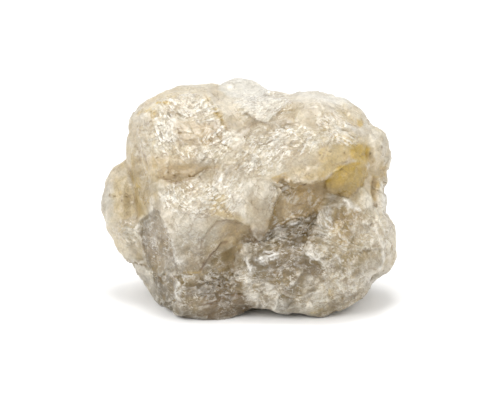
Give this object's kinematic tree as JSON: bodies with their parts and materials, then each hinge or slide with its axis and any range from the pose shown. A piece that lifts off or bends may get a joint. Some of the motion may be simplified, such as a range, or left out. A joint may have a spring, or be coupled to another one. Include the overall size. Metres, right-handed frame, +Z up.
{
  "type": "rough amblygonite stone",
  "caption": "Rough hand-sized chunk of milky cream amblygonite with cleavage ledges, lobes and a hollow in its front, resting on a flat cleavage face.",
  "frame": {"origin": "centre of the stone's bounding box in plan, on the flat cleavage face that it rests on", "axes": "+Z up, +X to the right across the stone's widest extent, -Y towards whoever looks at its front, so Y runs through its depth"},
  "size_m": [0.06, 0.04, 0.0427],
  "materials": {
    "amblygonite": "milky translucent cream with yellow stains, broken cleavage surfaces"
  },
  "bodies": {
    "root": {"amblygonite_stone": "amblygonite"}
  },
  "joints": []
}
